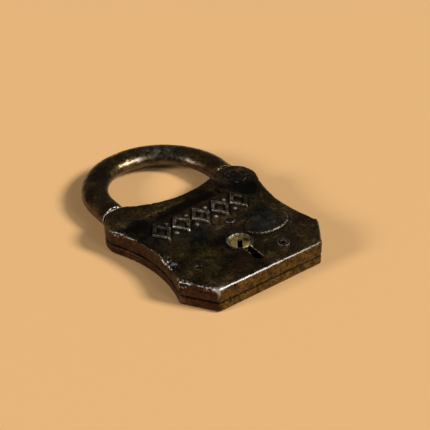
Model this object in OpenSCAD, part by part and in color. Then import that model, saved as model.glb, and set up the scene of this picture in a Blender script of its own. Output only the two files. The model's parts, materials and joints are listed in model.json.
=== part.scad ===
// Flat cast lever padlock with a hinged bow shackle and a turning keyhole drum.
// It lies on its back: +Z points out of the face, +Y towards the shackle.
// The origin is on the back face, on the centre line, level with the keyhole.

/* [Case] */
// Width of the flat foot
foot_w = 44; // [36:0.5:54]
// Width across the two lower corners
corner_w = 60.2; // [56:0.2:74]
// Height of the lower corners above the foot
corner_h = 11.5; // [9:0.5:14]
// Radius of the hollow curve of each side
side_r = 46.4; // [38:0.2:60]
// Distance between the centres of the two ears
ear_span = 47; // [42:0.2:56]
// How far the middle between the ears lies to the left of the centre line
ear_off = 0.6; // [0:0.1:1.2]
// Height of the ear centres above the foot
ear_h = 51.4; // [50:0.2:62]
// Outer radius of the ear at the heel
ear_r = 8.6; // [8:0.1:10.4]
// Outer radius of the ear at the toe
toe_ear_r = 9.3; // [8:0.1:10.4]
// Lowest height of the hollow top edge above the foot
dip_h = 54; // [53:0.2:60]
// Thickness of the case, back to face
case_t = 10; // [10:0.1:14]
// Height of the seam between the two shells
seam_z = 4; // [3:0.1:5]
// Thickness of the front plate and of the back plate
plate_t = 1.6; // [1.2:0.1:2]
// Thickness of the side walls
wall_t = 2.2; // [1.6:0.1:2.4]
// Rounding of the front edge
front_round = 1.1; // [0.6:0.1:1.6]
// Rounding of the back edge
back_round = 1.1; // [0.6:0.1:1.6]
// Height of the band's cast relief above the face
relief_t = 0.8; // [0.3:0.1:1]

/* [Shackle] */
// Width of the shackle's oval bar in the plane of the bow
bar_w = 10.4; // [8:0.1:11]
// Thickness of the bar, back to face
bar_t = 7.4; // [6.6:0.1:9.6]
// How far the heel's leg stands outside its ear's centre
leg_out = 1.6; // [0:0.1:1.8]
// How far the toe's leg stands outside its ear's centre
toe_leg_out = 0.7; // [0:0.1:1.2]
// Height of the bow's centre line above the ear centres
bow_h = 40.9; // [34:0.2:52]
// How far the top of the bow lies to the left of the centre line
bow_off = 2.1; // [0:0.1:4]
// How far the bar's centre lies above the middle of the case's thickness
bar_up = 0.7; // [0:0.1:0.8]
// Gap between the heel's shoulder and its ear
heel_gap = 1.2; // [0.4:0.1:1.6]
// Gap between the toe's shoulder and its ear
toe_gap = 1.6; // [0.6:0.1:2]
// Gap between the flattened ends and each plate
end_gap = 0.2; // [0.1:0.05:0.4]
// Width of the toe that enters the case
toe_w = 6.2; // [5.2:0.1:7]
// Radius of the heel's eye
eye_r = 7; // [5.5:0.1:7.2]
// Opening angle of the shackle
shackle_open = 85; // [60:1:85]

/* [Keyhole] */
// Offset of the keyhole from the centre line, to the left
key_off = 0.5; // [0:0.1:1]
// Height of the keyhole above the foot
key_h = 17.4; // [16:0.2:20]
// Radius of the drum's face
drum_r = 3.9; // [3.2:0.1:4.7]
// Radius of the drum's flange behind the front plate
flange_r = 5.6; // [5:0.1:6.2]
// Width of the slot in the drum
drum_slot_w = 1.75; // [1.2:0.05:2.2]
// Angle by which the drum stands turned from the case's key slot
drum_turned = 36; // [0:1:90]
// How far the drum's face stands above the face of the case
drum_up = 0.3; // [0:0.05:0.4]
// Width of the worn lip round the keyhole
lip_w = 0.9; // [0.6:0.1:1.6]
// Height of that lip
lip_t = 0.25; // [0.1:0.05:0.5]
// Width of the key slot in the case
slot_w = 2.75; // [2:0.05:3.4]
// Reach of the key slot below the keyhole's centre
slot_reach = 12.8; // [10:0.1:13.6]

/* [Lock work] */
// Throw of the bolt
bolt_throw = 4.5; // [3.6:0.1:4.6]
// Height of the bolt's bar
bolt_bar_h = 5; // [4:0.1:5.6]
// Thickness of the bolt's plate
bolt_t = 1.8; // [1.4:0.1:2]
// Thickness of the bolt's head
bolt_head_t = 4; // [3:0.1:4.6]
// Thickness of each lever
lever_t = 1; // [0.8:0.05:1.05]
// Gap between neighbouring levers
lever_gap = 0.2; // [0.1:0.05:0.2]
// Angle by which the levers lift as the bolt is thrown
lever_lift = 3; // [2:0.1:3.2]
// Radius of the stump that passes through the levers' gates
stump_r = 1.2; // [0.9:0.05:1.3]
// Radius of the post on which the levers turn
post_r = 1.6; // [1.2:0.1:2]

/* [Rivets] */
// Shank radius of the shackle's pivot rivet
pivot_r = 2.6; // [2:0.1:3.1]
// Head radius of the shackle's pivot rivet
pivot_head_r = 4.4; // [3.6:0.1:5.2]
// Height of that head
pivot_head_t = 0.5; // [0.3:0.1:0.8]
// Shank radius of the smaller rivets
rivet_r = 1.4; // [1:0.05:1.6]
// Radial clearance of a rivet in its hole
rivet_clear = 0.03; // [0.02:0.01:0.1]
// Radial clearance of a turning or sliding fit
run_clear = 0.08; // [0.05:0.01:0.1]

/* [Hidden] */
$fn = 48;
through = 40;

// Colours
IRON = "#3b352f";
IRON_BACK = "#5b3a1c";
STEEL = "#4d4437";
BRIGHT = "#8b8479";
BRASS = "#b39a57";
OLD_BRASS = "#8c7440";

// Main places, seen from the front
foot_y = -key_h;
foot_pt = [foot_w / 2, foot_y];
corner_pt = [corner_w / 2, foot_y + corner_h];
ear_y = foot_y + ear_h;
heel_ear_pt = [ear_span / 2 - ear_off, ear_y];
toe_ear_pt = [-ear_span / 2 - ear_off, ear_y];
pivot_pt = heel_ear_pt;
dip_y = foot_y + dip_h;
key_pt = [-key_off, 0];

// Levels
inner_lo = plate_t;
inner_hi = case_t - plate_t;
mid_z = case_t / 2;
bolt_z = inner_lo + end_gap;
lever_z = bolt_z + bolt_t + lever_gap;
stack_t = 3 * lever_t + 2 * lever_gap;
washer_t = 0.5;

// Each side is [centre of its ear, radius of its ear]; the toe's side is drawn mirrored
HEEL_SIDE = [heel_ear_pt, ear_r];
TOE_SIDE = [[-toe_ear_pt[0], ear_y], toe_ear_r];

// Centre of a side's hollow curve: it passes through the corner and touches the ear
function side_centre(side) =
    let (v = side[0] - corner_pt, chord = norm(v), dir = v / chord,
         along = (side_r * side_r - pow(side_r + side[1], 2) + chord * chord) / (2 * chord))
    corner_pt + along * dir + sqrt(side_r * side_r - along * along) * [dir[1], -dir[0]];

// Radius of a side's half of the hollow top curve: level on the centre line, touching the ear
function dip_radius(side) =
    let (drop = side[0][1] - dip_y)
    (pow(side[0][0], 2) + drop * drop - side[1] * side[1]) / (2 * (side[1] + drop));

// The straight bevel from the foot up to the corner
bevel_dir = (corner_pt - foot_pt) / norm(corner_pt - foot_pt);
bevel_out = [bevel_dir[1], -bevel_dir[0]];
bevel_angle = atan2(bevel_out[1], bevel_out[0]);

function arc(centre, r, a0, a1, n) =
    [for (i = [0:n]) let (a = a0 + (a1 - a0) * i / n) centre + r * [cos(a), sin(a)]];
function mirrored(points) = [for (i = [len(points) - 1:-1:0]) [-points[i][0], points[i][1]]];
function without_last(points) = [for (i = [0:len(points) - 2]) points[i]];
function facing(v) = 180 + atan2(-v[1], -v[0]);

// Where the foot and the bevel meet, both moved inwards by k
function foot_corner(k) =
    [foot_pt[0] - k * (1 + bevel_out[1]) / bevel_out[0], foot_y + k];
// Where the bevel and the side curve meet, both moved inwards by k
function side_corner(k, centre) =
    let (start = foot_pt - k * bevel_out,
         from_centre = start - centre,
         b = from_centre * bevel_dir,
         t = -b - sqrt(b * b - from_centre * from_centre + pow(side_r + k, 2)))
    start + t * bevel_dir;

// Outline of the case moved inwards by inset; round is the radius of its corners at no inset
function half_outline(inset, round, side) =
    let (ear = side[0], hollow = side_centre(side), dip_r = dip_radius(side),
         dip = [0, dip_y + dip_r],
         foot_c = foot_corner(round), side_c = side_corner(round, hollow), r = round - inset)
    concat(
        arc(foot_c, r, -90, bevel_angle, 4),
        arc(side_c, r, bevel_angle, atan2(hollow[1] - side_c[1], hollow[0] - side_c[0]), 5),
        [for (i = [1:9]) arc(hollow, side_r + inset, facing(side_c - hollow),
                             facing(ear - hollow), 10)[i]],
        arc(ear, side[1] - inset, atan2(hollow[1] - ear[1], hollow[0] - ear[0]),
            atan2(dip[1] - ear[1], dip[0] - ear[0]), 16),
        [for (i = [1:8]) arc(dip, dip_r + inset,
                             atan2(ear[1] - dip[1], ear[0] - dip[0]), -90, 8)[i]]);
function outline(inset, round) =
    concat(half_outline(inset, round, HEEL_SIDE),
           mirrored(without_last(half_outline(inset, round, TOE_SIDE))));

// A closed skin through equal rings of points, from the lowest ring up
module skin(rings) {
    n = len(rings[0][1]);
    top = (len(rings) - 1) * n;
    polyhedron(
        points = [for (ring = rings) for (p = ring[1]) [p[0], p[1], ring[0]]],
        faces = concat(
            [[for (i = [0:n - 1]) i]],
            [for (j = [0:len(rings) - 2]) for (i = [0:n - 1]) each
                let (a = j * n + i, b = j * n + (i + 1) % n) [[a, a + n, b + n], [a, b + n, b]]],
            [[for (i = [n - 1:-1:0]) top + i]]));
}

module bar_along_z(at, r, z0, z1) {
    translate([at[0], at[1], z0]) cylinder(r = r, h = z1 - z0);
}

// Places of the rivets and posts
guide_rivet_pt = key_pt + [4.6, 12];
ring_rivet_pt = key_pt + [11.4, -9.8];
side_rivet_pt = key_pt + [-19.1, -2.3];
lever_post_pt = key_pt + [18, 12];
bolt_y = ear_y - 3.2;
guide_stud_pt = [-6, bolt_y];
guide_stud_r = 1;

// Shackle sizes
heel_leg_x = pivot_pt[0] + leg_out;
toe_leg_x = toe_ear_pt[0] - toe_leg_out;
bow_top_y = ear_y + bow_h;
bar_z = mid_z + bar_up;
heel_shoulder_r = ear_r + heel_gap;
toe_shoulder_r = toe_ear_r + toe_gap;
toe_out_x = toe_leg_x - toe_w / 2;
toe_in_x = toe_out_x + toe_w;
toe_foot_y = bolt_y - bolt_bar_h / 2 - 1.3;
toe_clear = 1.6;
notch_depth = bolt_throw - 0.2;
eye_clear = 0.4;
end_lo = inner_lo + end_gap;
end_hi = inner_hi - end_gap;
neck_l = 2.5;
neck_r = leg_out + 2.9;

// ---------- Case ----------

// Passages that both shells leave for the shackle's toe and heel, and the shared cavity
module shackle_passages() {
    translate([toe_out_x - toe_clear, ear_y, inner_lo])
        cube([toe_w + 2 * toe_clear, 2 * toe_ear_r, inner_hi - inner_lo]);
    bar_along_z(pivot_pt, eye_r + eye_clear, inner_lo, inner_hi);
    reach = heel_shoulder_r + 2;
    a0 = acos((neck_r + eye_clear) / ear_r) - shackle_open - 6;
    a1 = 90 + asin((neck_l + eye_clear) / ear_r) + 6;
    translate([pivot_pt[0], pivot_pt[1], inner_lo])
        linear_extrude(inner_hi - inner_lo)
            polygon(concat([[0, 0]], arc([0, 0], reach, a0, a1, 6)));
}

module cavity(z0, z1) {
    translate([0, 0, z0]) linear_extrude(z1 - z0) polygon(outline(wall_t, wall_t + 0.6));
}

// Each shell's skin runs past the seam and is cut off flat there
past_seam = 1;
module beyond_seam(z0) {
    translate([-corner_w, foot_y - 1, z0]) cube([2 * corner_w, 3 * ear_h, through]);
}

module rivet_holes(r_add) {
    bar_along_z(pivot_pt, pivot_r + r_add, -1, through);
    for (at = [guide_rivet_pt, ring_rivet_pt, side_rivet_pt])
        bar_along_z(at, rivet_r + r_add, -1, through);
}

// Cast relief: the lip of the keyhole, a plain oval boss and a band of lozenges and beads
oval_pt = key_pt + [14.3, 3.3];
oval_half = [8.7, 5.6];
oval_t = 0.55;
band_pt = [-2.6, foot_y + 37.8];
band_step = 8.4;
lozenge_half = [3.8, 5.4];
lozenge_rim = 1.15;
bead_r = 1;

module ellipse(half) {
    polygon([for (a = [0:10:350]) [half[0] * cos(a), half[1] * sin(a)]]);
}

module lozenge(half) {
    polygon([[half[0], 0], [0, half[1]], [-half[0], 0], [0, -half[1]]]);
}

module relief() {
    sunk = plate_t / 2;
    translate([key_pt[0], key_pt[1], case_t - sunk])
        cylinder(r = drum_r + run_clear + lip_w, h = sunk + lip_t);
    translate([oval_pt[0], oval_pt[1], case_t - sunk])
        linear_extrude(sunk + oval_t) ellipse(oval_half);
    for (i = [-2:2])
        translate([band_pt[0] + i * band_step, band_pt[1], case_t - sunk])
            linear_extrude(sunk + relief_t) difference() {
                lozenge(lozenge_half);
                lozenge(lozenge_half - lozenge_rim * [1.3, 1.7]);
            }
    for (i = [-2:1], side = [-1, 1])
        translate([band_pt[0] + (i + 0.5) * band_step, band_pt[1] + side * 3.4,
                   case_t - 0.45])
            rotate([90, 0, 0]) sphere(r = bead_r);
}

// Shallow trough under the top edge and a hollow below the right ear
module face_hollows() {
    cove_r = 6;
    cove_depth = 0.7;
    translate([-0.62 * ear_span, ear_y - 3.8, case_t + cove_r - cove_depth])
        rotate([0, 90, 0]) cylinder(r = cove_r, h = 0.9 * ear_span);
    hollow_r = 10;
    hollow_depth = 0.9;
    for (at = [[-1.8, -10.4], [0.6, -7.4]])
        translate([pivot_pt[0] + at[0], ear_y + at[1], case_t + hollow_r - hollow_depth])
            rotate([90, 0, 0]) sphere(r = hollow_r);
}

module front_case() {
    corner_round = front_round + 0.4;
    color(IRON) difference() {
        union() {
            difference() {
                skin(concat([[seam_z - past_seam, outline(0, corner_round)]],
                    [for (a = [0:22.5:90])
                        [case_t - front_round + front_round * sin(a),
                         outline(front_round * (1 - cos(a)), corner_round)]]));
                face_hollows();
            }
            relief();
        }
        beyond_seam(seam_z - through);
        cavity(seam_z - past_seam - 1, inner_hi);
        shackle_passages();
        rivet_holes(rivet_clear);
        bar_along_z(key_pt, drum_r + run_clear, inner_hi - 1, through);
        translate([key_pt[0], 0, inner_hi - 1]) linear_extrude(through) key_slot();
    }
}

// The slot for the key's bit, with a slanted lower end
module key_slot() {
    half = slot_w / 2;
    polygon([[-half, 0], [-half, -slot_reach + 0.6 * slot_w], [half, -slot_reach], [half, 0]]);
}

drum_seat_r = 2.5;
drum_seat_t = 0.8;

module back_case() {
    corner_round = back_round + 0.4;
    color(IRON_BACK) difference() {
        skin(concat(
            [for (a = [90:-22.5:0])
                [back_round * (1 - sin(a)),
                 outline(back_round * (1 - cos(a)), corner_round)]],
            [[seam_z + past_seam, outline(0, corner_round)]]));
        beyond_seam(seam_z);
        cavity(inner_lo, seam_z + past_seam + 1);
        shackle_passages();
        rivet_holes(rivet_clear);
        bar_along_z(key_pt, drum_seat_r + run_clear, inner_lo - drum_seat_t, through);
        bar_along_z(lever_post_pt, post_r + rivet_clear, -1, through);
        bar_along_z(guide_stud_pt, guide_stud_r + rivet_clear, -1, through);
    }
}

// ---------- Shackle ----------

module bar_section() {
    polygon([for (a = [0:12:348]) [bar_w / 2 * cos(a), bar_t / 2 * sin(a)]]);
}

// A quarter of the bow down to a leg, and the leg's straight length; side is 1 at the heel
module half_bow(leg_x, side) {
    bend_r = abs(leg_x + bow_off);
    translate([-bow_off, bow_top_y - bend_r, bar_z]) rotate([0, 0, side > 0 ? 0 : 90])
        rotate_extrude(angle = 90) translate([bend_r, 0]) bar_section();
    translate([leg_x, bow_top_y - bend_r, bar_z]) rotate([90, 0, 0])
        linear_extrude(bow_h - bend_r) bar_section();
}

module shackle() {
    color(STEEL) difference() {
        union() {
            difference() {
                half_bow(heel_leg_x, 1);
                bar_along_z(heel_ear_pt, heel_shoulder_r, -1, through);
            }
            difference() {
                half_bow(toe_leg_x, -1);
                bar_along_z(toe_ear_pt, toe_shoulder_r, -1, through);
            }
            toe();
            heel();
        }
        bar_along_z(pivot_pt, pivot_r + run_clear, -1, through);
    }
}

// The flattened toe, with the notch that takes the bolt
module toe() {
    cut = 1.4;
    top_y = ear_y + toe_shoulder_r + 0.4;
    notch_h = bolt_bar_h + 0.6;
    translate([0, 0, end_lo]) linear_extrude(end_hi - end_lo) difference() {
        polygon([[toe_in_x, toe_foot_y], [toe_in_x, top_y], [toe_out_x, top_y],
                 [toe_out_x, toe_foot_y + cut], [toe_out_x + cut, toe_foot_y]]);
        translate([toe_in_x - notch_depth, bolt_y - notch_h / 2]) square([through, notch_h]);
    }
}

// The flattened heel: an eye round the pivot and a neck up into the leg
module heel() {
    bar_along_z(pivot_pt, eye_r, end_lo, end_hi);
    translate([pivot_pt[0] - neck_l, pivot_pt[1], end_lo])
        cube([neck_l + neck_r, heel_shoulder_r + 0.4, end_hi - end_lo]);
}

// ---------- Rivets and posts ----------

// Shank through both plates, with a domed head on the face
module domed_rivet(at, r, head_r, head_t) {
    bar_along_z(at, r, 0, case_t);
    rim = head_t / 3;
    translate([at[0], at[1], case_t]) {
        cylinder(r = head_r, h = rim);
        translate([0, 0, rim]) cylinder(r1 = head_r, r2 = head_r * 0.55, h = head_t - rim);
    }
}

module pivot_rivet() {
    color(STEEL) domed_rivet(pivot_pt, pivot_r, pivot_head_r, pivot_head_t);
}

module guide_rivet() {
    color(STEEL) domed_rivet(guide_rivet_pt, rivet_r, rivet_r + 0.3, 0.6);
}

module side_rivet() {
    color(STEEL) domed_rivet(side_rivet_pt, rivet_r, rivet_r + 0.5, 0.3);
}

// The hollow end is spread into a ring on the face
module ring_rivet() {
    ring_r = 2.2;
    color(STEEL) difference() {
        union() {
            bar_along_z(ring_rivet_pt, rivet_r, 0, case_t);
            bar_along_z(ring_rivet_pt, ring_r, case_t, case_t + 0.4);
        }
        bar_along_z(ring_rivet_pt, rivet_r - 0.4, case_t - 2, through);
    }
}

module guide_stud() {
    color(BRIGHT) {
        bar_along_z(guide_stud_pt, guide_stud_r, 0, bolt_z + bolt_t);
        bar_along_z(guide_stud_pt, guide_stud_r + 0.7, bolt_z + bolt_t + 0.1, bolt_z + bolt_t + 0.9);
        bar_along_z(guide_stud_pt, guide_stud_r, bolt_z, bolt_z + bolt_t + 0.5);
    }
}

module lever_post() {
    color(BRIGHT) {
        bar_along_z(lever_post_pt, post_r, 0, inner_hi - 0.1);
        bar_along_z(lever_post_pt, post_r + 1, inner_lo, lever_z - lever_gap / 2);
    }
}

module post_washer() {
    z0 = lever_z + stack_t + lever_gap / 2;
    color(BRIGHT) difference() {
        bar_along_z(lever_post_pt, post_r + 1.2, z0, z0 + washer_t);
        bar_along_z(lever_post_pt, post_r + rivet_clear, -1, through);
    }
}

// ---------- Keyhole drum ----------

flange_t = 0.85;
flange_z = inner_hi - 0.1 - flange_t;

module keyhole_drum() {
    slot_back = drum_slot_w * 0.55;
    notch = 0.5;
    face_z = case_t + drum_up;
    bevel = 0.3;
    color(BRASS) translate([key_pt[0], key_pt[1], 0]) rotate([0, 0, -90 - drum_turned])
        difference() {
            union() {
                translate([0, 0, inner_lo - drum_seat_t + 0.1])
                    cylinder(r = drum_seat_r, h = drum_seat_t);
                translate([0, 0, inner_lo + 0.1])
                    cylinder(r = drum_r, h = face_z - bevel - inner_lo - 0.1);
                translate([0, 0, face_z - bevel])
                    cylinder(r1 = drum_r, r2 = drum_r - bevel, h = bevel);
                translate([0, 0, flange_z]) cylinder(r = flange_r, h = flange_t);
            }
            translate([-slot_back, -drum_slot_w / 2, -1]) cube([through, drum_slot_w, through]);
            for (side = [-1, 1])
                translate([-slot_back - 1.1, side * 0.75 - notch / 2, face_z - notch])
                    cube([notch, notch, 1]);
        }
}

// A thin blade round the side rivet that bears on the drum's flange
module drum_spring() {
    blade_w = 0.5;
    reach = norm(side_rivet_pt - key_pt);
    bear_r = flange_r + 0.15 + blade_w;
    tilt = atan2(key_pt[1] - side_rivet_pt[1], key_pt[0] - side_rivet_pt[0])
         - asin(bear_r / reach);
    blade_l = sqrt(reach * reach - bear_r * bear_r) + 3;
    z0 = flange_z + 0.05;
    blade_t = flange_t - 0.1;
    color(BRIGHT) difference() {
        union() {
            bar_along_z(side_rivet_pt, rivet_r + 1.2, z0, z0 + blade_t);
            translate([side_rivet_pt[0], side_rivet_pt[1], z0]) rotate([0, 0, tilt])
                cube([blade_l, blade_w, blade_t]);
        }
        bar_along_z(side_rivet_pt, rivet_r + rivet_clear, -1, through);
    }
}

// ---------- Bolt ----------

stump_pt = key_pt + [-8, 17];
talon = [-3.5, 1.7];
talon_top_y = 10.4;
tip_gap = 0.5;

// Slot of the given half height that lets the bolt run past a fixed stud
module run_slot(at, r) {
    translate([at[0], at[1] - r]) square([bolt_throw, 2 * r]);
    for (x = [0, bolt_throw]) translate([at[0] + x, at[1]]) circle(r = r);
}

module bolt() {
    head_x = toe_in_x + tip_gap;
    head_l = 6;
    bar_lo = bolt_y - bolt_bar_h / 2;
    plate_l = key_pt[0] - 11.5;
    plate_r = guide_rivet_pt[0] + bolt_throw + rivet_r + 1.6;
    foot = 7.4;
    color(BRIGHT) difference() {
        union() {
            translate([0, 0, bolt_z]) linear_extrude(bolt_t) difference() {
                union() {
                    translate([head_x, bar_lo]) square([plate_r - head_x, bolt_bar_h]);
                    polygon([[plate_l, bar_lo + 1], [plate_l, 12], [plate_l + 6, foot],
                             [plate_r - 4, foot], [plate_r, foot + 3], [plate_r, bar_lo + 1]]);
                }
                translate([key_pt[0] + talon[0], foot - 1])
                    square([talon[1] - talon[0], talon_top_y - foot + 1]);
                run_slot(guide_rivet_pt, rivet_r + run_clear);
                run_slot(guide_stud_pt, guide_stud_r + run_clear);
            }
            translate([head_x, bar_lo, bolt_z]) cube([head_l, bolt_bar_h, bolt_head_t]);
        }
        bar_along_z(stump_pt, stump_r - 0.2 + rivet_clear, -1, through);
    }
}

module bolt_stump() {
    color(BRIGHT) {
        bar_along_z(stump_pt, stump_r - 0.2, bolt_z, bolt_z + bolt_t);
        bar_along_z(stump_pt, stump_r, bolt_z + bolt_t, lever_z + stack_t + 0.1);
    }
}

// ---------- Levers ----------

belly_r = [9.6, 8.9, 10.2];
function lever_level(i) = lever_z + i * (lever_t + lever_gap);
function turned(p, centre, a) =
    let (v = p - centre) centre + [v[0] * cos(a) - v[1] * sin(a), v[0] * sin(a) + v[1] * cos(a)];

// Window in which the stump stands: two pockets, and a sloping gate between them
module gate() {
    play = 0.2;
    r = stump_r + play;
    thrown = turned(stump_pt - [bolt_throw, 0], lever_post_pt, lever_lift);
    low = thrown[1] - r;
    pocket_top = stump_pt[1] + r;
    for (x = [stump_pt[0], thrown[0]])
        translate([x - r, low]) square([2 * r, pocket_top - low]);
    polygon([[thrown[0], low], [stump_pt[0], low], [stump_pt[0], pocket_top],
             [thrown[0], thrown[1] + r]]);
}

module lever(i) {
    eye = post_r + 1.8;
    right = lever_post_pt;
    drop = lever_lift * PI / 180 * (lever_post_pt[0] - guide_rivet_pt[0]);
    pass = rivet_r + 0.3;
    color(OLD_BRASS) translate([0, 0, lever_level(i)]) linear_extrude(lever_t) difference() {
        union() {
            translate(right) circle(r = eye);
            polygon([right + [0, eye], key_pt + [11, 21.5], key_pt + [-15, 21.5],
                     key_pt + [-16.5, 20], key_pt + [-16.5, 13], key_pt + [-12.5, 9.5],
                     key_pt + [-8, 7.6], key_pt + [8, 7.6], right + [0, -eye]]);
        }
        translate(key_pt) circle(r = belly_r[i]);
        translate(right) circle(r = post_r + run_clear);
        gate();
        translate([guide_rivet_pt[0] - pass, guide_rivet_pt[1] - pass - drop])
            square([2 * pass, 2 * pass + drop]);
    }
}

module lever_1() { lever(0); }
module lever_2() { lever(1); }
module lever_3() { lever(2); }

// A bent leaf that stands on the lever's upper edge and reaches towards the top wall
module lever_spring(i) {
    leaf_w = 0.35;
    start = key_pt + [6, 21.5];
    bend_r = 11.2 - leaf_w;
    centre = start + [-bend_r, 0];
    inset = 0.12;
    color(BRIGHT) translate([0, 0, lever_level(i) + inset])
        linear_extrude(lever_t - 2 * inset)
            polygon(concat(arc(centre, bend_r + leaf_w, 0, 82, 12),
                           arc(centre, bend_r, 82, 0, 12)));
}

module lever_spring_1() { lever_spring(0); }
module lever_spring_2() { lever_spring(1); }
module lever_spring_3() { lever_spring(2); }

front_case();
back_case();
shackle();
pivot_rivet();
guide_rivet();
ring_rivet();
side_rivet();
guide_stud();
keyhole_drum();
drum_spring();
bolt();
bolt_stump();
lever_post();
post_washer();
lever_1();
lever_2();
lever_3();
lever_spring_1();
lever_spring_2();
lever_spring_3();
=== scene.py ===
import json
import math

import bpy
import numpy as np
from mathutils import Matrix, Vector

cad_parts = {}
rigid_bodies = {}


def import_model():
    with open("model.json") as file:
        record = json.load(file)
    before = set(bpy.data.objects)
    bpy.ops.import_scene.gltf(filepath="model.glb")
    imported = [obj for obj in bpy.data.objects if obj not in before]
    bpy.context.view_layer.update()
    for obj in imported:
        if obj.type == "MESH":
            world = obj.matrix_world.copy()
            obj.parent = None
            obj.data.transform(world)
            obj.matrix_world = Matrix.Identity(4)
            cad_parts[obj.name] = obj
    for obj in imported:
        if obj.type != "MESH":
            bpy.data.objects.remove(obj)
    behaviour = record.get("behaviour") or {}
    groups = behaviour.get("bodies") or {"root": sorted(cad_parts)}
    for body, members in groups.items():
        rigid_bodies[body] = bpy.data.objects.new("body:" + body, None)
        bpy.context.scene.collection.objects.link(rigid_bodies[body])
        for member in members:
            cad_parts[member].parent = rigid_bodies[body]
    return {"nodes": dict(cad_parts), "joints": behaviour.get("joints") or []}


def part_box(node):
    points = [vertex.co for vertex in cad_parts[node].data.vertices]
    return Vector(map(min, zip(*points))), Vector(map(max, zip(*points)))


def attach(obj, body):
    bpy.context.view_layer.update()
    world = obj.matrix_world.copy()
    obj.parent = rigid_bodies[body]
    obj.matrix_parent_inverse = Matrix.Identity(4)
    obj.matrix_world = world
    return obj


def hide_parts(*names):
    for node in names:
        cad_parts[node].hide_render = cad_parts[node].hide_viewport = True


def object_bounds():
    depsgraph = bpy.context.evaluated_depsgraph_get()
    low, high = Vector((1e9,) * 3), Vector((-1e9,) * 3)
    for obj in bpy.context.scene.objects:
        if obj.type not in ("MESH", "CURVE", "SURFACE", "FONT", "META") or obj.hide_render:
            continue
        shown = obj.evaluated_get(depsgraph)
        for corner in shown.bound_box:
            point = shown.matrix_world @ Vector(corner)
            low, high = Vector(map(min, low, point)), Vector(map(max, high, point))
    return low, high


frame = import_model()

# A worn cast lever padlock, lying on its back: a dark handled face, rust browned sides and
# shackle, and a brass drum. Everything here finishes the imported pieces at their own size.
#
# Each piece that shows is a copy of its CAD node with a fine even skin. Its points move
# inwards for dents, burrs and roughness, and each point keeps values from 0 to 1 that the
# materials read: edge, hollow, side, left, grime_and_shade, grey_and_sheen, olive and red.
# Some of these paint shade, highlights and sheen into the colour.

CAD_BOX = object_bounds()
MM = 0.001

# ---------- Places taken from the frame ----------

FRONT_LOW, FRONT_HIGH = (Vector(c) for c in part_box("front_case"))
SHACKLE_LOW, SHACKLE_HIGH = (Vector(c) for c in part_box("shackle"))
DRUM_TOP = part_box("keyhole_drum")[1][2]
JOINT_AT = {j["name"]: Vector(j["pos_m"]) for j in frame["joints"] if "pos_m" in j}
PIVOT = JOINT_AT["shackle_swing"]
KEYHOLE = JOINT_AT["drum_turn"]
SEAM_Z = FRONT_LOW.z
FOOT_Y = FRONT_LOW.y
# The pivot's middle lies halfway up the case
FACE_Z = 2 * PIVOT.z
LOOP_MIDDLE = np.array([(SHACKLE_LOW.x + SHACKLE_HIGH.x) / 2, (PIVOT.y + SHACKLE_HIGH.y) / 2, 0])

# The toe's ear lies level with the pivot, this far in from the shackle's left side, and the
# shackle's shoulder stands round it at its own radius
TOE_INSET = 5.9 * MM
TOE_EAR = Vector((SHACKLE_LOW.x + TOE_INSET, PIVOT.y, PIVOT.z))
SHOULDER_R = 10.9 * MM
# The brass face's radius, without the flange behind it
DRUM_R = 3.9 * MM


# ---------- Colour and node helpers ----------

def linear(hex_colour):
    """An sRGB hex colour as the linear RGBA that the shaders use."""
    values = [int(hex_colour[i:i + 2], 16) / 255 for i in (1, 3, 5)]
    return [v / 12.92 if v <= 0.04045 else ((v + 0.055) / 1.055) ** 2.4 for v in values] + [1.0]


def per_mm(size_mm):
    """The scale that gives a pattern features of about this size in millimetres."""
    return 1000 / size_mm


def add(material, kind, inputs=None, output=0, stops=(), **settings):
    """Adds a shader node with its settings and links, and returns one of its outputs.

    An input is given by name or number: a socket is linked, and a value or an sRGB hex
    colour is set. Stops are a ramp's places with their hex colour or grey value."""
    made = material.node_tree.nodes.new("ShaderNode" + kind)
    for name, value in settings.items():
        setattr(made, name, value)
    for name, value in (inputs or {}).items():
        if isinstance(value, bpy.types.NodeSocket):
            material.node_tree.links.new(value, made.inputs[name])
        else:
            made.inputs[name].default_value = linear(value) if isinstance(value, str) else value
    for k, (spot, colour) in enumerate(stops):
        ramp = made.color_ramp.elements
        stop = ramp[k] if k < len(ramp) else ramp.new(spot)
        stop.position = spot
        stop.color = linear(colour) if isinstance(colour, str) else [colour] * 3 + [1]
    return made.outputs[output] if made.outputs else None


def new_material(name):
    material = bpy.data.materials.new(name)
    material.use_nodes = True
    material.node_tree.nodes.clear()
    return material, add(material, "TexCoord", output="Object")


# ---------- Materials ----------

# What has grown or settled on the iron, and light painted into its colour: olive and red
# oxide (the olive also paints sheen on the bow's top), dull grey metal that shows through
# and also paints sheen, black grime that also paints shade, dark pores, and the two tones
# of the walls that face left, painted darker as shade
OLIVE_OXIDE_AND_SHEEN = "#776a36"
RED_OXIDE = "#5a2e1c"
GREY_METAL_AND_SHEEN = "#535a60"
GRIME_AND_SHADE = "#080402"
PORES = "#090604"
LEFT_WALL_SHADE = ("#1c0d02", "#4a2c0c")


def iron_patterns(material, coords, grain_mm):
    """Patches in the patina, smaller blotches, the metal's grain and fine specks.

    The sand of a mould leaves a grain of about half a millimetre. It is drawn coarser, so
    that it shows."""
    patch = add(material, "TexNoise", {"Vector": coords, "Scale": per_mm(13), "Detail": 6.0,
                                       "Roughness": 0.62, "Distortion": 0.6})
    blotch = add(material, "TexNoise", {"Vector": coords, "Scale": per_mm(3.4), "Detail": 7.0,
                                        "Roughness": 0.66, "Distortion": 0.3})
    grain = add(material, "TexNoise", {"Vector": coords, "Scale": per_mm(grain_mm),
                                       "Detail": 4.0, "Roughness": 0.7})
    speck = add(material, "TexNoise", {"Vector": coords, "Scale": per_mm(grain_mm / 2.6),
                                       "Detail": 3.0, "Roughness": 0.7})
    return patch, blotch, grain, speck


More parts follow.
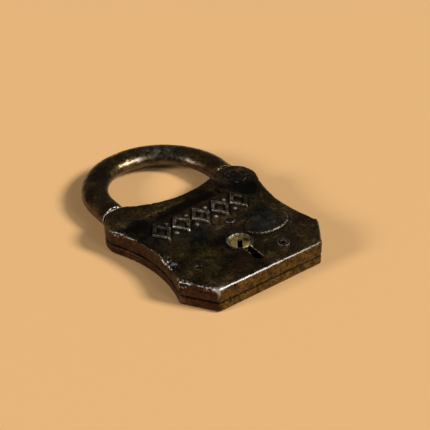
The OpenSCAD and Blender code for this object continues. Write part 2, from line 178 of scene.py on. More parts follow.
def iron_patina(material, patch, blotch, marks_and_light, face, walls):
    """The oxide's colour: face and walls differ, the walls that face left are painted darker as
    shade, and there are olive and red places.
    """
    face_tone = add(material, "ValToRGB", {"Fac": patch}, stops=[(0.38, face[0]), (0.62, face[1])])
    wall_tone = add(material, "ValToRGB", {"Fac": blotch},
                    stops=[(0.36, walls[0]), (0.60, walls[1])])
    # Walls that face left get darker tones: painted shade
    left_shade_tone = add(material, "ValToRGB", {"Fac": blotch},
                    stops=[(0.36, LEFT_WALL_SHADE[0]), (0.64, LEFT_WALL_SHADE[1])])
    wall_tone = add(material, "Mix", {0: marks_and_light["left"], 6: wall_tone, 7: left_shade_tone}, 2,
                    data_type="RGBA")
    tone = add(material, "Mix", {0: marks_and_light["side"], 6: face_tone, 7: wall_tone}, 2,
               data_type="RGBA")
    mottle = add(material, "ValToRGB", {"Fac": blotch}, stops=[(0.40, 0.25), (0.62, 1.0)])
    # Olive places, which on the bow's top also paint sheen
    olive_and_sheen_mask = add(material, "Math", {0: marks_and_light["olive"], 1: mottle}, operation="MULTIPLY")
    tone = add(material, "Mix", {0: olive_and_sheen_mask, 6: tone, 7: OLIVE_OXIDE_AND_SHEEN}, 2, data_type="RGBA")
    red_mask = add(material, "Math", {0: marks_and_light["red"], 1: mottle}, operation="MULTIPLY")
    tone = add(material, "Mix", {0: red_mask, 6: tone, 7: RED_OXIDE}, 2, data_type="RGBA")
    return tone, mottle


def iron_relief(material, coords, blotch, grain, speck, rubbed_and_highlight_mask, relief_mm, grain_mm):
    """Pits, grain and specks as a bump that is fainter where the metal is rubbed."""
    pits = add(material, "TexVoronoi", {"Vector": coords, "Scale": per_mm(grain_mm * 2.4),
                                        "Randomness": 1.0}, feature="SMOOTH_F1")
    pits = add(material, "ValToRGB", {"Fac": pits}, stops=[(0.05, 0.0), (0.34, 1.0)])
    rise = add(material, "Math", {0: blotch, 1: 1.6, 2: grain}, operation="MULTIPLY_ADD")
    rise = add(material, "Math", {0: pits, 1: 0.35, 2: rise}, operation="MULTIPLY_ADD")
    rise = add(material, "Math", {0: speck, 1: 0.35, 2: rise}, operation="MULTIPLY_ADD")
    strength = add(material, "Mix", {0: rubbed_and_highlight_mask, 2: 0.8, 3: 0.3})
    return add(material, "Bump", {"Height": rise, "Strength": strength,
                                  "Distance": relief_mm * MM})


def browned_iron(name, face, walls, rust, rubbed, shine, wax, relief_mm, grain_mm):
    """Cast or forged iron under an old brown patina, waxed by handling.

    A black-brown oxide over rough iron: half glossy, browner on the walls than on the face and
    painted darker as shade on walls that face left, dull orange-brown where rust has powdered,
    black and dull where grime has settled and where shade is painted, dull grey where grey
    metal shows or sheen is painted, and bright grey metal where an edge is rubbed or chipped
    and where highlights are painted."""
    material, coords = new_material(name)
    marks_and_light = {kept: add(material, "Attribute", attribute_name=kept, output="Fac")
            for kept in ("edge", "hollow", "side", "left", "olive", "red", "grime_and_shade", "grey_and_sheen")}
    patch, blotch, grain, speck = iron_patterns(material, coords, grain_mm)
    tone, mottle = iron_patina(material, patch, blotch, marks_and_light, face, walls)

    rust_share = add(material, "Math", {0: patch, 1: blotch}, operation="MULTIPLY")
    rust_mask = add(material, "ValToRGB", {"Fac": rust_share}, stops=[(0.30, 0.0), (0.44, 0.8)])
    tone = add(material, "Mix", {0: rust_mask, 6: tone, 7: rust}, 2, data_type="RGBA")
    # Dull grey metal, which also paints sheen on the face and the bow's top and dulls the foot
    # edge's painted highlight
    grey_and_sheen_mask = add(material, "Math", {0: marks_and_light["grey_and_sheen"], 1: mottle}, operation="MULTIPLY")
    tone = add(material, "Mix", {0: grey_and_sheen_mask, 6: tone, 7: GREY_METAL_AND_SHEEN}, 2, data_type="RGBA")

    # Black grime in hollows and the seam, and in patches that paint shade
    settled_and_shaded = add(material, "Math", {0: marks_and_light["hollow"], 1: marks_and_light["grime_and_shade"]}, operation="ADD",
                  use_clamp=True)
    grime_and_shade_mask = add(material, "ValToRGB", {"Fac": settled_and_shaded}, stops=[(0.06, 0.0), (0.50, 0.95)])
    tone = add(material, "Mix", {0: grime_and_shade_mask, 6: tone, 7: GRIME_AND_SHADE}, 2, data_type="RGBA")
    pores = add(material, "ValToRGB", {"Fac": grain}, stops=[(0.40, 0.75), (0.52, 0.0)])
    tone = add(material, "Mix", {0: pores, 6: tone, 7: PORES}, 2, data_type="RGBA")

    # Rubbed bright metal, which also carries painted highlights
    broken = add(material, "ValToRGB", {"Fac": blotch}, stops=[(0.30, 0.60), (0.50, 1.0)])
    rubbed_and_highlight_share = add(material, "Math", {0: marks_and_light["edge"], 1: broken}, operation="MULTIPLY")
    rubbed_and_highlight_mask = add(material, "ValToRGB", {"Fac": rubbed_and_highlight_share},
                      stops=[(0.28, 0.0), (0.85, 1.0)])
    colour = add(material, "Mix", {0: rubbed_and_highlight_mask, 6: tone, 7: rubbed}, 2, data_type="RGBA")

    gloss = add(material, "ValToRGB", {"Fac": blotch},
                stops=[(0.34, shine - 0.06), (0.66, shine + 0.14)])
    gloss = add(material, "Mix", {0: rust_mask, 2: gloss, 3: 0.70})
    gloss = add(material, "Mix", {0: grime_and_shade_mask, 2: gloss, 3: 0.62})
    gloss = add(material, "Mix", {0: rubbed_and_highlight_mask, 2: gloss, 3: 0.52})
    metal = add(material, "ValToRGB", {"Fac": rust_mask}, stops=[(0.0, 0.93), (1.0, 0.35)])
    metal = add(material, "Mix", {0: rubbed_and_highlight_mask, 2: metal, 3: 1.0})
    bump = iron_relief(material, coords, blotch, grain, speck, rubbed_and_highlight_mask, relief_mm, grain_mm)
    shader = add(material, "BsdfPrincipled", {
        "Base Color": colour, "Metallic": metal, "Roughness": gloss, "Normal": bump,
        "Coat Weight": wax, "Coat Roughness": 0.2, "Coat Normal": bump})
    add(material, "OutputMaterial", {"Surface": shader})
    return material


# Grime on the brass, which also paints shade, the black painted as shade round the key,
# and the spacing of a Wave texture's rings at scale 1
BRASS_GRIME_AND_SHADE = "#150f07"
KEYWAY_SHADE = "#0a0805"
WAVE_SPACING = 2 * math.pi / 20


def old_brass(name, bright, tarnish, brown, rings_mm, keyway_shade_mm):
    """Turned or stamped brass, dulled to olive brown in patches and specks, and cleanest on
    rubbed edges.

    Faint rings round the key's axis are the lathe's on the drum, and the key's rubbing on
    the levers. They are finer on the real metal, and drawn coarser so that they show. What
    lies nearer the keyhole's middle than the shade distance is painted black, as shade
    inside the key slot."""
    material, coords = new_material(name)
    centred = add(material, "Mapping", {"Vector": coords, "Location": [-c for c in KEYHOLE]})
    edge = add(material, "Attribute", attribute_name="edge", output="Fac")
    hollow = add(material, "Attribute", attribute_name="hollow", output="Fac")
    grime_and_shade = add(material, "Attribute", attribute_name="grime_and_shade", output="Fac")
    patch = add(material, "TexNoise", {"Vector": coords, "Scale": per_mm(2.4), "Detail": 6.0,
                                       "Roughness": 0.6, "Distortion": 0.4})
    speck = add(material, "TexNoise", {"Vector": coords, "Scale": per_mm(0.5), "Detail": 4.0,
                                       "Roughness": 0.7})
    rings = add(material, "TexWave", {
        "Vector": centred, "Scale": WAVE_SPACING / (rings_mm * MM), "Distortion": 0.8,
        "Detail": 2.0, "Detail Scale": 1.5}, wave_type="RINGS", rings_direction="Z",
        output="Fac")

    colour = add(material, "ValToRGB", {"Fac": patch}, stops=[(0.38, tarnish), (0.56, bright)])
    dull = add(material, "ValToRGB", {"Fac": speck}, stops=[(0.38, 0.75), (0.52, 0.0)])
    colour = add(material, "Mix", {0: dull, 6: colour, 7: brown}, 2, data_type="RGBA")
    rubbed = add(material, "ValToRGB", {"Fac": edge}, stops=[(0.25, 0.0), (0.70, 0.8)])
    colour = add(material, "Mix", {0: rubbed, 6: colour, 7: bright}, 2, data_type="RGBA")
    settled_and_shaded = add(material, "Math", {0: hollow, 1: grime_and_shade}, operation="ADD", use_clamp=True)
    grime_and_shade_mask = add(material, "ValToRGB", {"Fac": settled_and_shaded}, stops=[(0.10, 0.0), (0.60, 0.95)])
    colour = add(material, "Mix", {0: grime_and_shade_mask, 6: colour, 7: BRASS_GRIME_AND_SHADE}, 2, data_type="RGBA")
    # Painted shade: black on what lies near the key's axis, inside the slot
    away = add(material, "VectorMath", {0: centred}, "Value", operation="LENGTH")
    keyway_shade_mask = add(material, "ValToRGB", {"Fac": away},
              stops=[(0.8 * keyway_shade_mm * MM, 0.95), (keyway_shade_mm * MM, 0.0)])
    colour = add(material, "Mix", {0: keyway_shade_mask, 6: colour, 7: KEYWAY_SHADE}, 2, data_type="RGBA")

    gloss = add(material, "ValToRGB", {"Fac": patch}, stops=[(0.30, 0.48), (0.65, 0.30)])
    rise = add(material, "Math", {0: rings, 1: 0.3, 2: speck}, operation="MULTIPLY_ADD")
    bump = add(material, "Bump", {"Height": rise, "Strength": 0.4, "Distance": 0.06 * MM})
    shader = add(material, "BsdfPrincipled", {
        "Base Color": colour, "Metallic": 0.85, "Roughness": gloss, "Normal": bump})
    add(material, "OutputMaterial", {"Surface": shader})
    return material


def drawn_steel(name, clean, oiled, rust, grain_mm):
    """Milled or rolled steel kept from the air by old oil: grey with a brown film, specks of
    rust, and a straight grain left by the rolls or the cutter. Real grain is much finer. It
    is drawn coarser, so that it shows."""
    material, coords = new_material(name)
    stretched = add(material, "Mapping", {"Vector": coords, "Scale": (0.12, 1.0, 1.0)})
    grain = add(material, "TexNoise", {"Vector": stretched, "Scale": per_mm(grain_mm),
                                       "Detail": 4.0, "Roughness": 0.65})
    film = add(material, "TexNoise", {"Vector": coords, "Scale": per_mm(4.5), "Detail": 6.0,
                                      "Roughness": 0.6, "Distortion": 0.5})
    speck = add(material, "TexNoise", {"Vector": coords, "Scale": per_mm(0.8), "Detail": 6.0,
                                       "Roughness": 0.7})
    colour = add(material, "ValToRGB", {"Fac": film}, stops=[(0.38, clean), (0.62, oiled)])
    rusty = add(material, "ValToRGB", {"Fac": speck}, stops=[(0.58, 0.0), (0.68, 0.85)])
    colour = add(material, "Mix", {0: rusty, 6: colour, 7: rust}, 2, data_type="RGBA")
    gloss = add(material, "ValToRGB", {"Fac": film}, stops=[(0.30, 0.34), (0.70, 0.55)])
    bump = add(material, "Bump", {"Height": grain, "Strength": 0.3, "Distance": 0.04 * MM})
    shader = add(material, "BsdfPrincipled", {
        "Base Color": colour, "Metallic": 0.85, "Roughness": gloss, "Normal": bump})
    add(material, "OutputMaterial", {"Surface": shader})
    return material


def matt_paper(name, colour):
    """Matt coated paper: even and without gloss. Its fibre is drawn far coarser than the
    real one, so that it shows."""
    material, coords = new_material(name)
    fibre = add(material, "TexNoise", {"Vector": coords, "Scale": per_mm(0.8), "Detail": 3.0})
    bump = add(material, "Bump", {"Height": fibre, "Strength": 0.1, "Distance": 0.03 * MM})
    shader = add(material, "BsdfPrincipled", {
        "Base Color": colour, "Roughness": 0.85, "Normal": bump})
    add(material, "OutputMaterial", {"Surface": shader})
    return material


# The handled front: black-brown and waxy, with its edges rubbed to grey iron
CASE_FRONT = browned_iron(
    "handled_cast_iron", face=("#1e1913", "#6e5b37"), walls=("#2c1c06", "#7b6122"),
    rust="#4a3218", rubbed="#adb3b8", shine=0.33, wax=0.12, relief_mm=0.22, grain_mm=0.8)
# The back, less handled: browner, and not so glossy
CASE_BACK = browned_iron(
    "rust_browned_cast_iron", face=("#33261a", "#54391a"), walls=("#2c1c06", "#7b6122"),
    rust="#5a3d1a", rubbed="#a89b88", shine=0.40, wax=0.12, relief_mm=0.18, grain_mm=0.9)
# The shackle, forged and then filed: smoother and glossier than the castings
FORGED = browned_iron(
    "rubbed_forged_iron", face=("#2b1d0a", "#5c4826"), walls=("#2b1d0a", "#5c4826"),
    rust="#4a3012", rubbed="#bdb5ab", shine=0.33, wax=0.40, relief_mm=0.08, grain_mm=0.9)
# Soft iron rivets closed with a hammer: dark grey-brown, with brighter rims
RIVET = browned_iron(
    "hammered_rivet_iron", face=("#2a2622", "#4a4034"), walls=("#2a2622", "#4a4034"),
    rust="#4a361e", rubbed="#b3aca4", shine=0.36, wax=0.12, relief_mm=0.14, grain_mm=0.6)
# The drum's dull yellow face, kept fairly bright by the key. It needs no black painted as
# shade, so its shade distance is next to nothing
DRUM_BRASS = old_brass("tarnished_turned_brass", bright="#ead68c", tarnish="#ab9248",
                       brown="#463714", rings_mm=0.69, keyway_shade_mm=0.01)
# The levers' sheet brass: a deeper brown, painted black round the key as shade in the slot
LEVER_BRASS = old_brass("stamped_sheet_brass", bright="#a88a4a", tarnish="#7a6232",
                        brown="#42331a", rings_mm=1.18, keyway_shade_mm=17)
# The bolt, stump, stud, post and washer: milled grey steel under brown oil
INNER_STEEL = drawn_steel("oiled_milled_steel", clean="#8d857b", oiled="#5c5040",
                          rust="#6b4220", grain_mm=0.3)
# The springs: thin rolled strip, tempered to a blue-grey
SPRING_STEEL = drawn_steel("blued_spring_strip", clean="#5b6068", oiled="#3f3f42",
                           rust="#5d3d24", grain_mm=0.2)


# ---------- Modelling helpers ----------

def only(piece):
    """Leaves this one piece selected and active."""
    bpy.ops.object.select_all(action="DESELECT")
    piece.select_set(True)
    bpy.context.view_layer.objects.active = piece


def apply(piece, kind, **settings):
    """Adds a modifier and applies it."""
    only(piece)
    modifier = piece.modifiers.new(kind.lower(), kind)
    for name, value in settings.items():
        setattr(modifier, name, value)
    bpy.ops.object.modifier_apply(modifier=modifier.name)


def softened_copy(node, name, voxel_mm):
    """A merged copy of a CAD node, remeshed to small even faces that soften its edges."""
    only(frame["nodes"][node])
    bpy.ops.object.duplicate()
    piece = bpy.context.view_layer.objects.active
    bpy.ops.object.parent_clear(type="CLEAR_KEEP_TRANSFORM")
    piece.name = name
    piece.data.name = name
    bpy.ops.object.mode_set(mode="EDIT")
    bpy.ops.mesh.select_all(action="SELECT")
    bpy.ops.mesh.remove_doubles(threshold=0.0005 * MM)
    bpy.ops.mesh.normals_make_consistent(inside=False)
    bpy.ops.object.mode_set(mode="OBJECT")
    apply(piece, "REMESH", mode="VOXEL", voxel_size=voxel_mm * MM, adaptivity=0.0)
    return piece


def points(piece):
    """The places of the piece's points, one row each."""
    co = np.empty(len(piece.data.vertices) * 3)
    piece.data.vertices.foreach_get("co", co)
    return co.reshape(-1, 3)


def normals(piece):
    """The directions in which the piece's points face, one row each."""
    out = np.empty(len(piece.data.vertices) * 3)
    piece.data.vertices.foreach_get("normal", out)
    return out.reshape(-1, 3)


def place(piece, co, node):
    """Moves the piece's points, and keeps them inside the box of its CAD node."""
    low, high = (np.array(c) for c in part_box(node))
    piece.data.vertices.foreach_set("co", np.clip(co, low, high).ravel())
    piece.data.update()


def edges_of(piece):
    """The two points that each edge joins, one row each."""
    pairs = np.empty(len(piece.data.edges) * 2, dtype=np.int64)
    piece.data.edges.foreach_get("vertices", pairs)
    return pairs.reshape(-1, 2)


def relaxed(values, pairs, times):
    """Each point's value averaged with its neighbours', some times over."""
    count = np.bincount(pairs.ravel(), minlength=len(values))[:, None].clip(1)
    values = values.reshape(len(values), -1)
    for _ in range(times):
        total = np.stack([
            np.bincount(pairs[:, 0], weights=values[pairs[:, 1], k], minlength=len(values))
            + np.bincount(pairs[:, 1], weights=values[pairs[:, 0], k], minlength=len(values))
            for k in range(values.shape[1])], axis=1)
        values = 0.5 * values + 0.5 * total / count
    return values


def waves(co, size_mm, seed, count=24):
    """Smooth irregular relief, mostly between -1 and 1: plane waves in seeded directions."""
    rng = np.random.default_rng(seed)
    total = np.zeros(len(co))
    for _ in range(count):
        direction = rng.normal(size=3)
        direction /= np.linalg.norm(direction)
        length = size_mm * MM * rng.uniform(0.6, 1.7)
        total += np.sin(co @ direction * (2 * math.pi / length) + rng.uniform(0, 2 * math.pi))
    return total / math.sqrt(count) / 1.8


def near(co, spots):
    """The sum of soft round spots: x, y and radius in millimetres, and an amount."""
    total = np.zeros(len(co))
    for x, y, radius, amount in spots:
        away = np.hypot(co[:, 0] / MM - x, co[:, 1] / MM - y) / radius
        total += amount * np.exp(-away ** 2)
    return total


def roughen(piece, node, coarse_mm, coarse_depth, fine_mm, fine_depth, seed):
    """Cast or forged unevenness: points only move inwards from the true surface.

    The waves' sizes and depths are in millimetres."""
    co, out = points(piece), normals(piece)
    coarse = np.clip(waves(co, coarse_mm, seed), 0, 1.5)
    fine = np.clip(waves(co, fine_mm, seed + 1), 0, 1.5)
    depth = (coarse * coarse_depth + fine * fine_depth) * MM
    place(piece, co - out * depth[:, None], node)


def store(piece, name, values):
    """Keeps a value from 0 to 1 for each point, for its material to read."""
    layer = piece.data.attributes.new(name, "FLOAT", "POINT")
    layer.data.foreach_set("value", np.clip(values, 0, 1).astype(np.float32))


def wear_and_light_marks(piece, reach, full_mm, rubbed=1.0, polish_and_highlight=0.0):
    """Stores how much each point stands out, lies in, and faces sideways or left.

    A point is compared with its surroundings averaged over the reach, in rounds, and what
    stands out by the full height counts as 1. Rubbed is how much an edge there has been
    handled, and polish_and_highlight is what is bright without standing out. Both can also
    carry painted highlights."""
    co, pairs, out = points(piece), edges_of(piece), normals(piece)
    stands_out = ((co - relaxed(co, pairs, reach)) * out).sum(axis=1)
    stands_out = relaxed(stands_out, pairs, 1)[:, 0] / (full_mm * MM)
    store(piece, "edge", np.maximum(stands_out * rubbed, polish_and_highlight))
    store(piece, "hollow", -stands_out)
    upright = relaxed(np.abs(out[:, 2]), pairs, 2)[:, 0]
    store(piece, "side", (0.80 - upright) / 0.35)
    # Walls that face left are painted darker from this, as shade
    store(piece, "left", relaxed(-out[:, 0], pairs, 2)[:, 0] * 1.6)


def finish(piece, node, body, material):
    """Rides a piece on its body in place of its CAD node, and gives it its finish."""
    piece.data.materials.clear()
    piece.data.materials.append(material)
    only(piece)
    bpy.ops.object.shade_smooth_by_angle(angle=math.radians(50))
    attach(piece, body)
    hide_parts(node)


# ---------- Cast case ----------

# Shallow blows on the face: x, y, radius and depth in millimetres
FACE_DENTS = [(-17.0, 5.0, 6.0, 0.22), (8.0, -4.5, 4.0, 0.18), (-9.5, -9.0, 5.0, 0.25),
              (19.0, -7.0, 4.0, 0.20), (-25.0, 29.0, 3.5, 0.45), (-12.0, 29.0, 6.0, 0.25),
              (22.0, 27.5, 4.0, 0.55), (13.0, 12.0, 4.0, 0.15), (-2.0, 8.5, 6.0, 0.15)]
# Where an edge has been hit and burred: x, y, radius and depth in millimetres
CHEWED = [(-27.2, 6.5, 2.4, 0.8), (-26.8, 1.5, 2.4, 0.9), (-29.6, -7.0, 2.6, 0.8),
          (-25.6, -13.5, 2.8, 0.45), (-31.0, 30.0, 4.0, 0.35), (29.5, -5.5, 2.5, 0.4)]
# Where handling keeps the front edges bright, and highlights and sheen are painted on
# edges: x, y, radius in millimetres and share
HANDLED_AND_HIGHLIGHT_SPOTS = [(-27.2, 5.0, 4.0, 0.6), (-29.5, -7.0, 3.5, 0.7), (-25.0, -14.5, 4.0, 0.3),
           (-31.5, 27.0, 7.0, 0.3), (-22.0, -17.4, 3.0, 0.5), (-12.0, 18.0, 9.0, 1.0),
           (6.0, 20.0, 9.0, 0.9), (13.8, -1.0, 8.0, 0.5), (31.5, 2.0, 7.0, 0.5),
           (-2.0, 1.0, 4.5, 0.7)]
FOOT_CORNER = [(-22.0, FOOT_Y / MM, 2.5, 1.2)]
# Olive and red oxide, and dull grey metal that also paints sheen: x, y, radius in millimetres
# and share
OLIVE_PATCHES = [(-14.5, 0.5, 5.5, 0.9), (-17.5, -8.0, 4.5, 0.8), (20.0, -10.5, 4.5, 0.5),
                 (27.0, 8.0, 6.0, 0.5), (-27.0, 36.0, 6.0, 0.45), (-8.0, 33.0, 5.0, 0.3),
                 (16.0, 18.0, 6.0, 0.6), (-20.0, 14.0, 5.0, 0.3), (0.0, 35.0, 4.5, 0.5)]
RED_PATCHES = [(2.5, 24.0, 3.5, 0.8), (9.5, 24.5, 3.0, 0.6), (-21.0, 35.0, 4.0, 0.6),
               (-11.0, -11.0, 3.5, 0.6), (-3.0, -8.5, 4.0, 0.5), (28.0, -3.0, 4.0, 0.4)]
GREY_AND_SHEEN_PATCHES = [(13.8, 3.3, 7.0, 1.0), (-6.0, 13.0, 5.0, 0.5), (22.0, 36.0, 4.5, 0.5),
                (-19.0, 17.0, 5.5, 0.6)]
# Black grime and painted shade, most of it in the low places of the face: x, y, radius in
# millimetres and share
GRIME_AND_SHADE_PATCHES = [(-24.0, 29.0, 3.8, 1.3), (-14.0, 28.6, 3.4, 0.6), (-7.0, 29.4, 3.6, 0.8),
                (0.0, 30.2, 3.6, 0.8), (7.0, 31.2, 3.4, 0.7), (22.3, 26.6, 3.8, 1.6),
                (15.0, 31.0, 3.2, 0.5), (-1.0, -11.5, 3.5, 0.4), (10.0, 12.0, 3.0, 0.3),
                (-7.0, 3.5, 4.5, 0.5)]

# The open joint between the shells, in millimetres: how far its groove, its grime and its
# shelter from rubbing reach, and the groove's depth
GROOVE_REACH, GROOVE_DEPTH = 0.65, 0.28
SEAM_GRIME_REACH, SEAM_GRIME_SHARE = 0.42, 0.55
SEAM_SHELTER = 1.4
# How far in from the foot its edge is worn and carries a painted highlight, and how thick
# the layer of face is that dents
FOOT_WEAR_AND_HIGHLIGHT = 2.5 * MM
FACE_LAYER = 1.5 * MM


def at_seam(co, reach_mm):
    """1 at the height of the seam, and near 0 beyond the reach."""
    return np.exp(-((co[:, 2] - SEAM_Z) / (reach_mm * MM)) ** 2)


def seam_groove(piece, node):
    """A shallow groove in the walls along the seam."""
    co, out = points(piece), normals(piece)
    in_wall = np.hypot(out[:, 0], out[:, 1])
    depth = at_seam(co, GROOVE_REACH) * in_wall * GROOVE_DEPTH * MM
    place(piece, co - out * depth[:, None], node)


def dent_front_case(piece, near_front):
    """Blows on the face, and burrs along the edges that have been hit."""
    co, out = points(piece), normals(piece)
    on_face = np.clip(out[:, 2], 0, 1) * (co[:, 2] > FACE_Z - FACE_LAYER)
    burr = near(co, CHEWED) * np.clip(0.4 + waves(co, 1.5, 40), 0, 1.3) * near_front
    depth = near(co, FACE_DENTS) * on_face + burr
    place(piece, co - out * (depth * MM)[:, None], "front_case")


def mark_front_case(piece, near_front):
    """What handling, the bench and dirt have done to each point of the front shell, and the
    light painted into it.

    Handled edges are rubbed, and more so where they face the foot, which paints highlights
    on the lower edges. The foot's edge has been dragged over benches: it is dull grey metal
    with a painted highlight, rubbed brightest at its left and less so to the right. Neither
    goes into the seam, and patches of oxide, grime, painted shade and painted sheen lie on
    the face."""
    co = points(piece)
    out = relaxed(normals(piece), edges_of(piece), 3)
    to_right = (co[:, 0] - FRONT_LOW.x) / (FRONT_HIGH.x - FRONT_LOW.x)
    along_foot = np.exp(-((co[:, 1] - FOOT_Y) / FOOT_WEAR_AND_HIGHLIGHT) ** 2)
    # Edges that face the foot are brightened more: a painted highlight on the lower edges
    lower_side_highlight = 1 + 0.4 * np.clip(-out[:, 1], 0, 1) * (1 - along_foot)
    rubbed = (0.30 - 0.22 * along_foot + near(co, HANDLED_AND_HIGHLIGHT_SPOTS)) * (0.3 + 0.7 * near_front)
    rubbed = rubbed * lower_side_highlight + near(co, FOOT_CORNER)
    rubbed = rubbed * (1 - at_seam(co, SEAM_SHELTER))
    # Halfway between facing up and facing the foot, as the rounded edge does: where the foot
    # edge's painted highlight lies
    turned = np.clip((-2 * out[:, 1] * out[:, 2] - 0.60) / 0.35, 0, 1)
    foot_edge = turned * along_foot
    # The foot edge is painted bright as a highlight, fading to the right
    wear_and_light_marks(piece, reach=7, full_mm=0.11, rubbed=rubbed,
               polish_and_highlight=foot_edge * (0.90 - 0.68 * to_right))
    up = np.clip(out[:, 2], 0, 1) * near_front
    seam_grime = SEAM_GRIME_SHARE * at_seam(co, SEAM_GRIME_REACH)
    # Grime and painted shade in patches on the face, and grime along the seam
    store(piece, "grime_and_shade", near(co, GRIME_AND_SHADE_PATCHES) * up + seam_grime)
    # Grey metal patches that paint sheen on the face, and grey along the foot edge's painted
    # highlight
    store(piece, "grey_and_sheen", near(co, GREY_AND_SHEEN_PATCHES) * up + 1.3 * foot_edge)
    store(piece, "olive", near(co, OLIVE_PATCHES) * up)
    store(piece, "red", near(co, RED_PATCHES) * up)


def make_front_case():
    piece = softened_copy("front_case", "front_case_cast", voxel_mm=0.36)
    height = (points(piece)[:, 2] - SEAM_Z) / (FACE_Z - SEAM_Z)
    near_front = np.clip(height * 1.6 - 0.5, 0, 1)
    dent_front_case(piece, near_front)
    seam_groove(piece, "front_case")
    roughen(piece, "front_case", coarse_mm=7, coarse_depth=0.12, fine_mm=2.2,
            fine_depth=0.13, seed=3)
    mark_front_case(piece, near_front)
    finish(piece, "front_case", "case", CASE_FRONT)


def make_back_case():
    piece = softened_copy("back_case", "back_case_cast", voxel_mm=0.40)
    seam_groove(piece, "back_case")
    roughen(piece, "back_case", coarse_mm=8, coarse_depth=0.10, fine_mm=2.0,
            fine_depth=0.10, seed=9)
    co = points(piece)
    wear_and_light_marks(piece, reach=6, full_mm=0.14, rubbed=0.6 * (1 - at_seam(co, SEAM_SHELTER)))
    store(piece, "grime_and_shade", SEAM_GRIME_SHARE * at_seam(co, SEAM_GRIME_REACH))
    finish(piece, "back_case", "case", CASE_BACK)


# ---------- Shackle, rivets and drum ----------

# Where the bow hangs on its staple, rubbed bright and with a painted highlight: x, y,
# radius in millimetres, share
BOW_POLISH_AND_HIGHLIGHT = [(-3.0, 70.3, 3.2, 0.42), (2.2, 70.0, 2.8, 0.55), (17.2, 58.3, 2.6, 0.50)]
# Olive oxide and grey metal on the bow's top, which also paint its sheen: x, y, radius in
# millimetres, share
BOW_OLIVE_AND_SHEEN = [(14.0, 68.0, 10.0, 0.7), (-4.0, 75.0, 10.0, 0.6)]
BOW_GREY_AND_SHEEN = [(13.0, 70.0, 9.0, 0.8)]
# Where painted shade darkens the brass face: x, y, radius in millimetres and share
DRUM_SHADE_PATCHES = [(1.7, -0.8, 1.9, 0.62), (0.8, 2.6, 1.4, 0.35)]
SHOULDER_WIDTH = 1.1 * MM


def make_shackle():
    """The bow is rubbed, with a painted highlight, where its upper side turns in towards the
    loop, and the shoulder at the toe's ear is rubbed all round. Olive and grey patches on
    the bow's top also paint its sheen."""
    piece = softened_copy("shackle", "shackle_forged", voxel_mm=0.36)
    roughen(piece, "shackle", coarse_mm=9, coarse_depth=0.14, fine_mm=2.4,
            fine_depth=0.09, seed=15)
    co, out = points(piece), normals(piece)
    from_ear = np.hypot(co[:, 0] - TOE_EAR.x, co[:, 1] - TOE_EAR.y)
    shoulder = np.exp(-((from_ear - SHOULDER_R) / SHOULDER_WIDTH) ** 2)
    # 1 where a point faces the loop's middle and 37 degrees up, and less as it turns away
    inwards = LOOP_MIDDLE - co
    inwards[:, 2] = 0
    inwards *= 0.8 / np.linalg.norm(inwards, axis=1)[:, None]
    inner_top = ((inwards + (0, 0, 0.6)) * relaxed(out, edges_of(piece), 4)).sum(axis=1)
    # Rubbed metal and a painted highlight on the bow's inner upper side
    polish_and_highlight = near(co, BOW_POLISH_AND_HIGHLIGHT) * np.clip(inner_top * 4 - 3, 0, 1)
    polish_and_highlight += 0.36 * shoulder * np.clip(out[:, 2] * 2, 0, 1)
    wear_and_light_marks(piece, reach=7, full_mm=0.14, rubbed=0.35 + 0.6 * shoulder, polish_and_highlight=polish_and_highlight)
    store(piece, "olive", near(co, BOW_OLIVE_AND_SHEEN))
    store(piece, "grey_and_sheen", near(co, BOW_GREY_AND_SHEEN))
    finish(piece, "shackle", "shackle", FORGED)


def make_rivet(node, voxel_mm, depth_mm, rubbed, seed):
    """A rivet with hammered ends: dents of about the depth, and finer ones between."""
    piece = softened_copy(node, node + "_hammered", voxel_mm)
    roughen(piece, node, coarse_mm=3.2, coarse_depth=depth_mm, fine_mm=0.9,
            fine_depth=depth_mm / 3, seed=seed)
    wear_and_light_marks(piece, reach=6, full_mm=0.08, rubbed=rubbed)
    finish(piece, node, "case", RIVET)


def make_drum():
    """The drum, its face turned to a low dome, black below the face as painted shade inside its
    hole, and darker on its face where shade is painted.
    """
    piece = softened_copy("keyhole_drum", "keyhole_drum_turned", voxel_mm=0.17)
    co = points(piece)
    from_axis = np.hypot(co[:, 0] - KEYHOLE.x, co[:, 1] - KEYHOLE.y)
    dome_drop = 0.45 * MM
    # From 0.6 mm below the top, in full from 0.1 mm below it
    on_face = np.clip((co[:, 2] - (DRUM_TOP - 0.6 * MM)) / (0.5 * MM), 0, 1)
    co[:, 2] -= on_face * dome_drop * (from_axis / DRUM_R) ** 2
    place(piece, co, "keyhole_drum")
    wear_and_light_marks(piece, reach=6, full_mm=0.16)
    co = points(piece)
    # From 0.9 mm below the top, in full from 1.2 mm below it
    below_face = np.clip((DRUM_TOP - 0.9 * MM - co[:, 2]) / (0.3 * MM), 0, 1)
    # Painted shade: black below the face, inside the hole, and spots darkening the face
    store(piece, "grime_and_shade", below_face + near(co, DRUM_SHADE_PATCHES))
    finish(piece, "keyhole_drum", "drum", DRUM_BRASS)


make_front_case()
make_back_case()
make_shackle()
make_rivet("pivot_rivet", voxel_mm=0.26, depth_mm=0.36, rubbed=0.9, seed=21)
make_rivet("guide_rivet", voxel_mm=0.17, depth_mm=0.10, rubbed=1.1, seed=22)
make_rivet("ring_rivet", voxel_mm=0.17, depth_mm=0.10, rubbed=1.3, seed=23)
make_rivet("side_rivet", voxel_mm=0.17, depth_mm=0.20, rubbed=2.0, seed=24)
make_drum()


# ---------- The lock's inside: CAD nodes that stay, with a finish ----------

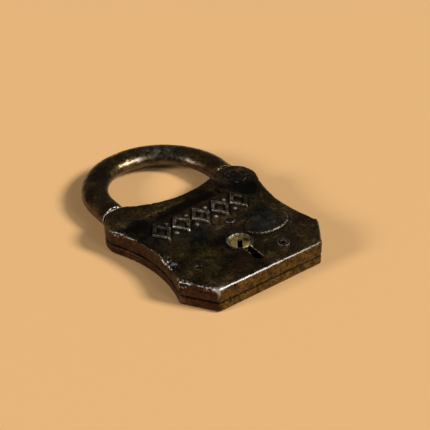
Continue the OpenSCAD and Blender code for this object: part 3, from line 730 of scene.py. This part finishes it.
INNER_FINISH = {
    INNER_STEEL: ("guide_stud", "bolt", "bolt_stump", "lever_post", "post_washer"),
    LEVER_BRASS: ("lever_1", "lever_2", "lever_3"),
    SPRING_STEEL: ("drum_spring", "lever_spring_1", "lever_spring_2", "lever_spring_3"),
}
for inner_material, nodes in INNER_FINISH.items():
    for node in nodes:
        inner = frame["nodes"][node]
        if not inner.material_slots:
            inner.data.materials.append(inner_material)
        for inner_slot in inner.material_slots:
            inner_slot.material = inner_material


# ---------- Floor, light and camera ----------

# Wide enough for a low view to end in floor, in metres
FLOOR_SIDE = 20
LAMP_COLOUR, SKY_COLOUR = "#fff4e8", "#fff3e6"
SKY_STRENGTH = 0.07


def make_floor():
    """A plain pale sheet of paper under the lock."""
    bpy.ops.object.select_all(action="DESELECT")
    bpy.ops.mesh.primitive_plane_add(size=FLOOR_SIDE, location=(0, 0, CAD_BOX[0][2]))
    floor = bpy.context.view_layer.objects.active
    floor.name = "floor"
    floor.data.materials.append(matt_paper("peach_paper", "#e0b882"))


def soft_light(name, direction, spread, strength):
    """A far soft box, so that the floor is evenly lit: its direction from the lock, the
    angle in degrees that it fills, and its light in watts a square metre."""
    lamp = bpy.data.lights.new(name, "SUN")
    lamp.angle = math.radians(spread)
    lamp.energy = strength
    lamp.color = linear(LAMP_COLOUR)[:3]
    holder = bpy.data.objects.new(name, lamp)
    bpy.context.scene.collection.objects.link(holder)
    holder.location = Vector(direction)
    holder.rotation_euler = (-Vector(direction)).to_track_quat("-Z", "Y").to_euler()


def make_sky():
    """A dim even light from all round, as in a pale room."""
    world = bpy.data.worlds.new("studio")
    bpy.context.scene.world = world
    world.use_nodes = True
    background = world.node_tree.nodes["Background"]
    background.inputs["Color"].default_value = linear(SKY_COLOUR)
    background.inputs["Strength"].default_value = SKY_STRENGTH


def make_camera(aim, distance, azimuth, elevation, roll, lens):
    """Looks at the aim from a distance in metres: angles in degrees, lens in millimetres."""
    azimuth, elevation, roll = (math.radians(a) for a in (azimuth, elevation, roll))
    back = Vector((math.sin(azimuth) * math.cos(elevation),
                   -math.cos(azimuth) * math.cos(elevation), math.sin(elevation)))
    turn = (-back).to_track_quat("-Z", "Y").to_matrix().to_4x4()
    data = bpy.data.cameras.new("camera")
    data.lens = lens
    data.sensor_width = 36
    camera = bpy.data.objects.new("camera", data)
    bpy.context.scene.collection.objects.link(camera)
    camera.matrix_world = (Matrix.Translation(aim + back * distance) @ turn
                           @ Matrix.Rotation(roll, 4, "Z"))
    bpy.context.scene.camera = camera


make_floor()
soft_light("key_light", (0.51, -0.61, 0.62), spread=15, strength=3.3)
soft_light("fill_light", (-0.89, 0.14, 0.42), spread=17, strength=2.0)
soft_light("front_light", (0.14, -0.79, 0.60), spread=12, strength=0.4)
make_sky()
make_camera(Vector((10.1, 29.6, 0)) * MM, distance=376 * MM, azimuth=-35.24, elevation=34.85,
            roll=-1.09, lens=83.72)
bpy.context.scene.view_settings.view_transform = "Standard"
